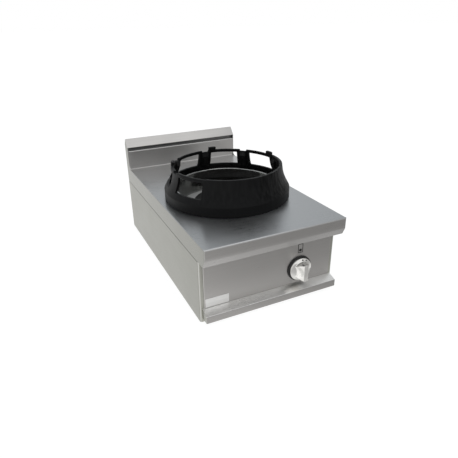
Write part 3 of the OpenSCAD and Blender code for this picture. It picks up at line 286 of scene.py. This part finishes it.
def brushed_steel(name, colour, roughness, axis, smudge=0.05, sides=None, front=None, rear=None,
                  rear_top=None, bend_highlight=None):
    """Satin stainless steel: long fine brush marks, faint clouds of handling and a soft gloss.

    A folded sheet may have other tones on the faces that look sideways and forwards, and a brighter
    rear, as painted light and shade; a more matt rear wall; and upright bends with a painted highlight.
    """
    material, tree, shader, coords = start_material(name)
    marks = noise(tree, coords, grain_scale(axis), detail=5.0, roughness=0.65)
    clouds = noise(tree, coords, 9.0, detail=4.0, roughness=0.6)
    wide_marks = noise(tree, coords, tuple(s * GRAIN_WIDE for s in grain_scale(axis)))
    tone = mean(tree, wide_marks, clouds, share=0.55)
    gloss = combine(tree, "ADD", uneven(tree, marks, roughness, 0.05), uneven(tree, clouds, 0.0, 0.03))
    if sides:
        folded, matt = folded_tones(tree, coords, colour, sides, front, rear, rear_top, bend_highlight)
        gloss = combine(tree, "ADD", gloss, matt)
        smudges_and_edge_highlights = grey_levels(tree, tone, ((0.3, 1 - smudge), (0.7, 1.0)))
        colours = mixed_colours(tree, 1.0, folded, smudges_and_edge_highlights, "MULTIPLY")
    else:
        colours = cloudy(tree, tone, colour, 1 - smudge, 1 + smudge)
    sheen = add_node(tree, "ShaderNodeCombineXYZ", dict(zip("XYZ", SHEEN_DIRECTION)))
    apply_finish(tree, shader, {
        "Base Color": colours, "Roughness": gloss, "Normal": bump(tree, marks, 0.06, 0.05 * MM),
        "Tangent": sheen.outputs["Vector"], "Anisotropic": SHEEN_STRETCH, "Metallic": 1.0,
    })
    return material


def enamelled_iron(name, colour, roughness):
    """Black satin enamel over a cast surface, with upright runs at its right and a painted highlight on its
    edges.
    """
    material, tree, shader, coords = start_material(name)
    grains = noise(tree, coords, 420.0, detail=4.0, roughness=0.6)
    waves = noise(tree, coords, 60.0)
    runs = noise(tree, coords, RUNS_SCALE, detail=2.0)
    clouds = noise(tree, coords, 14.0, detail=4.0, roughness=0.6)
    edges = add_node(tree, "ShaderNodeNewGeometry").outputs["Pointiness"]
    # Edges, found by their pointiness and broken up by the grains, are lighter: a painted highlight
    smudges_and_edge_highlights = product(tree, spread(tree, edges, 0.0, 1.0, 0.53, 0.6), spread(tree, grains, 0.2, 1.0))
    colours = shades(tree, mean(tree, clouds, smudges_and_edge_highlights), [
        (0.12, tinted(colour, 0.75)), (0.4, tinted(colour, 1.25)), (0.85, tinted(colour, 3.2)),
    ])
    gloss = combine(tree, "ADD", uneven(tree, clouds, roughness, 0.06), uneven(tree, grains, 0.0, 0.04))
    places = axes_of(tree, coords)
    share = product(tree, spread(tree, places["Z"], 0.15, 1.0, RUNS_LOW, RUNS_HIGH),
                    spread(tree, places["X"], 0.2, 1.0, RUNS_LEFT, RUNS_RIGHT))
    streaks = product(tree, spread(tree, runs, RUNS_DULL, RUNS_BRIGHT), share)
    relief = bump(tree, grains, 0.22, 0.25 * MM)
    relief = bump(tree, product(tree, runs, share), 0.7, 1.2 * MM, relief)
    relief = bump(tree, waves, 0.12, 0.6 * MM, relief)
    apply_finish(tree, shader, {
        "Base Color": colours, "Roughness": gloss, "Normal": relief,
        "Specular IOR Level": combine(tree, "ADD", streaks, ENAMEL_GLOSS),
    })
    return material


def raw_iron(name, colour, roughness):
    """Cast iron that heat has darkened, with rusty brown clouds."""
    material, tree, shader, coords = start_material(name)
    grains = noise(tree, coords, 520.0, detail=5.0, roughness=0.65)
    clouds = noise(tree, coords, 26.0, detail=5.0, roughness=0.6)
    rusty = (colour[0] * 2.0, colour[1] * 1.6, colour[2] * 1.3)
    apply_finish(tree, shader, {
        "Base Color": shades(tree, clouds, [(0.3, tinted(colour, 0.6)), (0.52, colour), (0.72, rusty)]),
        "Roughness": uneven(tree, grains, roughness, 0.1), "Normal": bump(tree, grains, 0.5, 0.4 * MM),
        "Specular IOR Level": IRON_GLOSS,
    })
    return material


def plated(name, colour, roughness, scratches=0.03):
    """Smooth bright metal: chrome, zinc, brass or drawn tube, with faint wiping marks."""
    material, tree, shader, coords = start_material(name)
    wipes = noise(tree, coords, (160.0, 700.0, 240.0), detail=4.0, roughness=0.6)
    clouds = noise(tree, coords, 70.0, detail=4.0, roughness=0.6)
    gloss = combine(tree, "ADD", uneven(tree, wipes, roughness, scratches),
                    uneven(tree, clouds, 0.0, scratches))
    apply_finish(tree, shader, {
        "Base Color": cloudy(tree, clouds, colour, 0.9, 1.05), "Roughness": gloss,
        "Normal": bump(tree, wipes, 0.05, 0.03 * MM), "Metallic": 1.0,
    })
    return material


def spangled_zinc(name, colour, roughness):
    """Galvanised sheet with its crystal flakes."""
    material, tree, shader, coords = start_material(name)
    flakes = add_node(tree, "ShaderNodeTexVoronoi", {"Vector": coords, "Scale": 170.0})
    clouds = noise(tree, coords, 12.0, detail=4.0)
    flake = add_node(tree, "ShaderNodeSeparateColor", {"Color": flakes.outputs["Color"]}).outputs["Red"]
    apply_finish(tree, shader, {
        "Base Color": cloudy(tree, mean(tree, flake, clouds), colour, 0.82, 1.12, 0.2, 0.8),
        "Roughness": spread(tree, flake, roughness - 0.1, roughness + 0.1, 0.0, 1.0),
        "Normal": bump(tree, clouds, 0.1, 0.2 * MM), "Metallic": 1.0,
    })
    return material


def moulded_plastic(name, colour, roughness):
    """Matt moulded plastic with a fine spark-eroded texture."""
    material, tree, shader, coords = start_material(name)
    texture = noise(tree, coords, 2600.0)
    clouds = noise(tree, coords, 40.0)
    apply_finish(tree, shader, {
        "Base Color": cloudy(tree, clouds, colour, 0.8, 1.25),
        "Roughness": uneven(tree, texture, roughness, 0.05), "Normal": bump(tree, texture, 0.15, 0.05 * MM),
    })
    return material


def printed_ink(name, colour):
    """Screen-printed ink, slightly uneven."""
    material, tree, shader, coords = start_material(name)
    cover = noise(tree, coords, 900.0)
    apply_finish(tree, shader, {
        "Base Color": cloudy(tree, cover, colour, 0.8, 1.3), "Roughness": spread(tree, cover, 0.4, 0.55),
    })
    return material


# Tone of faces that look sideways, darker than the steel as painted shade
SHADED_SIDE = (0.345, 0.345, 0.309)
STEEL = (0.494, 0.48, 0.465)
WORKTOP = (0.494, 0.503, 0.51)
# The worktop's rear top, lighter as painted light
LIT_WORKTOP_REAR = (0.59, 0.583, 0.577)
# The ledge's level faces, near white as painted light
LIT_LEDGE_TOP = (0.93, 0.915, 0.89)
# Upright bends, lighter as a painted highlight
BEND_HIGHLIGHT = (0.68, 0.675, 0.65)

# Finishes by the record's slots, and those of single nodes that differ from their slot's
FINISHES = {
    # The tones given below by the way faces look, and by how far back they stand, are painted light and shade
    "worktop_steel": brushed_steel("worktop_steel", WORKTOP, 0.31, "x", sides=tinted(SHADED_SIDE, 0.835),
                                   front=STEEL, rear=tinted(STEEL, 1.03), rear_top=LIT_WORKTOP_REAR),
    "panel_steel": brushed_steel("panel_steel", STEEL, 0.34, "x"),
    "side_steel": brushed_steel("side_steel", tinted(SHADED_SIDE, 0.6), 0.38, "y", 0.07, sides=SHADED_SIDE,
                                front=tinted(SHADED_SIDE, 1.35), bend_highlight=BEND_HIGHLIGHT),
    "control_steel": brushed_steel("control_steel", STEEL, 0.34, "x", sides=STEEL, front=STEEL, bend_highlight=BEND_HIGHLIGHT),
    "ledge_steel": brushed_steel("ledge_steel", LIT_LEDGE_TOP, 0.3, "x", 0.02, sides=SHADED_SIDE, front=tinted(STEEL, 0.73)),
    # The baffle's steel is darkened as painted shade in the slot under the flue cap
    "baffle_steel": brushed_steel("baffle_steel", (0.16, 0.158, 0.155), 0.4, "x"),
    "plate_steel": brushed_steel("plate_steel", (0.86, 0.855, 0.84), 0.38, "x"),
    "inner_steel": spangled_zinc("inner_steel", (0.5, 0.51, 0.52), 0.45),
    "well_steel": brushed_steel("well_steel", (0.8, 0.8, 0.79), 0.16, "z", 0.1),
    "liner_steel": brushed_steel("liner_steel", (0.4, 0.4, 0.39), 0.13, "z", 0.25),
    "bowl_steel": brushed_steel("bowl_steel", (0.6, 0.6, 0.59), 0.45, "x", 0.15),
    "ring_iron": enamelled_iron("ring_iron", (0.004, 0.004, 0.0042), 0.46),
    "burner_iron": raw_iron("burner_iron", (0.014, 0.0135, 0.013), 0.62),
    "bezel_black": moulded_plastic("bezel_black", (0.012, 0.012, 0.012), 0.5),
    "knob_chrome": plated("knob_chrome", (0.94, 0.925, 0.89), 0.12),
    "brass": plated("brass", (0.62, 0.46, 0.2), 0.3),
    "bright_steel": plated("bright_steel", (0.56, 0.56, 0.55), 0.32),
    "tube_metal": plated("tube_metal", (0.6, 0.6, 0.59), 0.34),
    "lead_copper": plated("lead_copper", (0.6, 0.3, 0.16), 0.36),
    "ink": printed_ink("ink", (0.004, 0.004, 0.004)),
}
OWN_FINISH = {
    "side_panel_left": "side_steel",
    "side_panel_right": "side_steel",
    "control_panel": "control_steel",
    "front_ledge": "ledge_steel",
    "flue_baffle": "baffle_steel",
    "well_liner": "liner_steel",
    "spill_bowl": "bowl_steel",
}


# Pieces

SLOT_OF = {part["node"]: part["material_slot"] for part in frame["record"]["subparts"]}
BODY_OF = {node: body for body, nodes in frame["record"]["behaviour"]["bodies"].items() for node in nodes}

# Eased edges: their widths and form, and the angle in degrees over which an edge counts as sharp
SHEET_EDGE = 0.35 * MM
MACHINED_EDGE = 0.25 * MM
EDGE_SEGMENTS = 2
EDGE_PROFILE = 0.6
EDGE_ANGLE = 28.0

# Joined meshes: how close corners are that become one, and the angle in degrees between faces that do
MERGE_DISTANCE = 0.002 * MM
FLAT_ANGLE = 0.6

# Castings: the size of their cells and the rounds of smoothing, each by the same factor
CAST_NODES = {"wok_ring": (0.9 * MM, 3), "knob": (0.6 * MM, 4)}
CAST_SOFTNESS = 0.5

# Nodes of bent or pressed sheet, which get the wider eased edges
SHEET_NODES = (
    "worktop", "flue_cap", "side_panel_left", "side_panel_right", "control_panel", "front_ledge",
    "name_plate", "base_plate", "back_panel", "flue_baffle", "well_collar", "well_liner", "spill_bowl",
    "valve_bracket", "injector_bracket", "burner_bracket_left", "burner_bracket_right",
)


def finish_of(node):
    return FINISHES[OWN_FINISH.get(node, SLOT_OF[node])]


def new_piece(name, mesh, body, material):
    """A piece of the scene that rides on a body."""
    piece = bpy.data.objects.new(name, mesh)
    bpy.context.scene.collection.objects.link(piece)
    mesh.materials.clear()
    mesh.materials.append(material)
    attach(piece, body)
    return piece


def stand_in(node, mesh):
    """A piece with a mesh of its own that stands for a CAD node."""
    piece = new_piece(node + "_finished", mesh, BODY_OF[node], finish_of(node))
    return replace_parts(piece, node)


def joined_mesh(node):
    """A copy of a CAD node's mesh with its corners joined and its flat faces whole, as a bmesh."""
    shape = bmesh.new()
    shape.from_mesh(frame["nodes"][node].data)
    bmesh.ops.remove_doubles(shape, verts=shape.verts, dist=MERGE_DISTANCE)
    bmesh.ops.dissolve_limit(shape, angle_limit=math.radians(FLAT_ANGLE), verts=shape.verts,
                             edges=shape.edges)
    return shape


def shade_faces(mesh, smooth):
    for polygon in mesh.polygons:
        polygon.use_smooth = smooth


def to_mesh(name, shape, smooth=True):
    mesh = bpy.data.meshes.new(name)
    shape.to_mesh(mesh)
    shape.free()
    shade_faces(mesh, smooth)
    return mesh


def eased(node, width):
    """The node with its sharp edges eased, so that they catch the light."""
    shape = joined_mesh(node)
    limit = math.radians(EDGE_ANGLE)
    sharp = [e for e in shape.edges if e.is_manifold and e.calc_face_angle(0.0) > limit]
    bmesh.ops.bevel(shape, geom=sharp, offset=width, segments=EDGE_SEGMENTS, profile=EDGE_PROFILE,
                    affect="EDGES", clamp_overlap=True)
    piece = stand_in(node, to_mesh(node, shape))
    weighted = piece.modifiers.new("even_faces", "WEIGHTED_NORMAL")
    weighted.keep_sharp = True


def cast(node, voxel, rounds):
    """The node as a casting: every edge and corner rounded by remeshing and smoothing."""
    piece = stand_in(node, to_mesh(node, joined_mesh(node)))
    remesh = piece.modifiers.new("remesh", "REMESH")
    remesh.mode = "VOXEL"
    remesh.voxel_size = voxel
    soften = piece.modifiers.new("soften", "SMOOTH")
    soften.factor = CAST_SOFTNESS
    soften.iterations = rounds
    bpy.context.view_layer.update()
    shaped = piece.evaluated_get(bpy.context.evaluated_depsgraph_get())
    mesh = bpy.data.meshes.new_from_object(shaped)
    piece.modifiers.clear()
    piece.data = mesh
    shade_faces(mesh, True)


def dress_nodes():
    for node in frame["nodes"]:
        if node in CAST_NODES:
            cast(node, *CAST_NODES[node])
        else:
            eased(node, SHEET_EDGE if node in SHEET_NODES else MACHINED_EDGE)


def shorten_spring():
    """Gives the return spring, whose end sits on the tap's plug, a mesh of its own; it would go down by the
    knob's travel, but is not moved here.
    """
    spring = bpy.data.objects["return_spring_finished"]
    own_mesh(spring)


# Prints

PRINT_HEIGHT = 0.12 * MM
DOT_SIDES = 24
SQUARE = ((-1, -1), (1, -1), (1, 1), (-1, 1))

# The burner symbol on the control panel
SYMBOL_CENTRE_X = 90.5 * MM
SYMBOL_CENTRE_Z = 143.0 * MM
SYMBOL_WIDTH = 15.5 * MM
SYMBOL_HEIGHT = 27.0 * MM
SYMBOL_LINE = 1.9 * MM
SYMBOL_DOT_RADIUS = 4.3 * MM
SYMBOL_DOT_Z = SYMBOL_CENTRE_Z - SYMBOL_HEIGHT / 2 + 3 * SYMBOL_LINE + SYMBOL_DOT_RADIUS / 2

# Index dots on the knob: their distance from its axis, and for each its degrees from the top and its radius
MARK_REACH = 28.0 * MM
MARKS = ((6.0, 2.3 * MM), (30.0, 1.7 * MM))


def band(shape, first, second):
    """Faces between two loops of the same number of points."""
    count = len(first)
    for i in range(count):
        j = (i + 1) % count
        shape.faces.new((first[i], first[j], second[j], second[i]))


def raised(name, outline, hole, front):
    """A thin print on a face that looks along -Y: a ring between two outlines, or a plain disc."""
    shape = bmesh.new()
    loops = [loop for loop in (outline, hole) if loop]
    back, face = (
        [[shape.verts.new((x, front - depth, z)) for x, z in loop] for loop in loops]
        for depth in (0.0, PRINT_HEIGHT)
    )
    for low, high in zip(back, face):
        band(shape, low, high)
    for layer in (back, face):
        if hole:
            band(shape, *layer)
        else:
            shape.faces.new(layer[0])
    bmesh.ops.recalc_face_normals(shape, faces=shape.faces)
    return to_mesh(name, shape, smooth=False)


def rectangle(x, z, width, height):
    return [(x + sx * width / 2, z + sz * height / 2) for sx, sz in SQUARE]


def circle(x, z, radius):
    turns = [2 * math.pi * k / DOT_SIDES for k in range(DOT_SIDES)]
    return [(x + radius * math.cos(t), z + radius * math.sin(t)) for t in turns]


def new_print(name, mesh, body):
    new_piece(name, mesh, body, FINISHES["ink"])


def print_symbol():
    """The burner's place on the worktop: an outline of the unit with a dot where the burner is."""
    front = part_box("control_panel")[0].y
    outline, hole = (
        rectangle(SYMBOL_CENTRE_X, SYMBOL_CENTRE_Z, SYMBOL_WIDTH - inset, SYMBOL_HEIGHT - inset)
        for inset in (0.0, 2 * SYMBOL_LINE)
    )
    dot = circle(SYMBOL_CENTRE_X, SYMBOL_DOT_Z, SYMBOL_DOT_RADIUS)
    new_print("symbol_outline", raised("symbol_outline", outline, hole, front), "root")
    new_print("symbol_dot", raised("symbol_dot", dot, None, front), "root")


def print_marks():
    """The index dots, laid on the knob's domed face."""
    low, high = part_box("knob")
    centre = (low + high) / 2
    tree = BVHTree.FromBMesh(joined_mesh("knob"))
    for index, (angle, radius) in enumerate(MARKS):
        turn = math.radians(angle)
        start = Vector((centre.x + MARK_REACH * math.sin(turn), low.y - MARK_REACH,
                        centre.z + MARK_REACH * math.cos(turn)))
        place, normal = tree.ray_cast(start, Vector((0.0, 1.0, 0.0)))[:2]
        mesh = raised("knob_mark", circle(0.0, 0.0, radius), None, 0.0)
        mesh.transform(Matrix.Translation(place) @ normal.to_track_quat("-Y", "Z").to_matrix().to_4x4())
        new_print("knob_mark_%d" % (index + 1), mesh, "knob")


# Studio

def make_camera():
    azimuth, elevation, roll = (math.radians(v) for v in (CAMERA_AZIMUTH, CAMERA_ELEVATION, CAMERA_ROLL))
    back = Vector((math.sin(azimuth) * math.cos(elevation), -math.cos(azimuth) * math.cos(elevation),
                   math.sin(elevation)))
    right = (-back).cross(Vector((0, 0, 1))).normalized()
    up = right.cross(-back)
    rolled_right = right * math.cos(roll) + up * math.sin(roll)
    rolled_up = up * math.cos(roll) - right * math.sin(roll)
    turned = Matrix((rolled_right, rolled_up, back)).transposed().to_4x4()
    data = bpy.data.cameras.new("camera")
    data.lens = CAMERA_LENS
    data.sensor_width = SENSOR_WIDTH
    data.clip_start = CLIP_START
    camera = bpy.data.objects.new("camera", data)
    camera.matrix_world = Matrix.Translation(CAMERA_PLACE) @ turned
    bpy.context.scene.collection.objects.link(camera)
    bpy.context.scene.camera = camera


def floor_material():
    """A white board that keeps the object's shadow, and glows to the camera and in mirrored views."""
    material = bpy.data.materials.new("floor")
    material.use_nodes = True
    tree = material.node_tree
    tree.nodes.clear()
    rays = add_node(tree, "ShaderNodeLightPath").outputs
    seen = rays["Is Camera Ray"]
    mirrored = combine(tree, "MAXIMUM", rays["Is Glossy Ray"], rays["Is Transmission Ray"])
    places = axes_of(tree, add_node(tree, "ShaderNodeNewGeometry").outputs["Position"])
    across = spread(tree, places["X"], 0.0, 1.0, FLOOR_LEFT_X, FLOOR_RIGHT_X)
    near = spread(tree, places["Y"], 1.0, FLOOR_NEAR_GAIN, FLOOR_FAR_Y, FLOOR_NEAR_Y)
    tone = combine(tree, "MINIMUM", product(tree, grey_levels(tree, across, FLOOR_LEVELS), near), 1.0)
    level = combine(tree, "MAXIMUM", product(tree, seen, FLOOR_GLOW_STRENGTH), tone)
    share = combine(tree, "MAXIMUM", product(tree, seen, FLOOR_GLOW),
                    product(tree, mirrored, FLOOR_GLOW_MIRRORED))
    board = add_node(tree, "ShaderNodeBsdfDiffuse", {"Color": FLOOR_COLOUR})
    glow = add_node(tree, "ShaderNodeEmission", {"Color": WHITE, "Strength": level})
    mixed = add_node(tree, "ShaderNodeMixShader", {"Fac": share})
    tree.links.new(board.outputs["BSDF"], mixed.inputs[1])
    tree.links.new(glow.outputs["Emission"], mixed.inputs[2])
    add_node(tree, "ShaderNodeOutputMaterial", {"Surface": mixed.outputs["Shader"]})
    return material


def make_floor():
    mesh = bpy.data.meshes.new("floor")
    corners = [(sx * FLOOR_HALF, sy * FLOOR_HALF, -FLOOR_DROP) for sx, sy in SQUARE]
    mesh.from_pydata(corners, [], [(0, 1, 2, 3)])
    mesh.materials.append(floor_material())
    floor = bpy.data.objects.new("floor", mesh)
    bpy.context.scene.collection.objects.link(floor)


def make_world():
    """A soft studio: white near the horizon, darker overhead and towards the right."""
    world = bpy.data.worlds.new("studio")
    world.use_nodes = True
    tree = world.node_tree
    tree.nodes.clear()
    direction = axes_of(tree, add_node(tree, "ShaderNodeTexCoord").outputs["Generated"])
    tones = shades(tree, direction["Z"], WORLD_TONES)
    falling = grey_levels(tree, spread(tree, direction["X"], 0.0, 1.0, -1.0, 1.0), WORLD_LEVELS)
    seen = add_node(tree, "ShaderNodeLightPath").outputs["Is Camera Ray"]
    light = add_node(tree, "ShaderNodeBackground", {
        "Color": tones, "Strength": combine(tree, "MAXIMUM", seen, falling),
    })
    add_node(tree, "ShaderNodeOutputWorld", {"Surface": light.outputs["Background"]})
    bpy.context.scene.world = world


def make_lamp(name, place, width, depth, power):
    """A rectangular lamp that looks at the middle of the object."""
    data = bpy.data.lights.new(name, "AREA")
    data.shape = "RECTANGLE"
    data.size = width
    data.size_y = depth
    data.energy = power
    lamp = bpy.data.objects.new(name, data)
    lamp.location = place
    lamp.rotation_euler = (LAMP_TARGET - Vector(place)).to_track_quat("-Z", "Y").to_euler()
    bpy.context.scene.collection.objects.link(lamp)


def make_studio():
    make_camera()
    make_floor()
    make_world()
    for lamp in LAMPS:
        make_lamp(*lamp)
    bpy.context.scene.view_settings.view_transform = "Standard"


make_studio()
dress_nodes()
shorten_spring()
print_symbol()
print_marks()
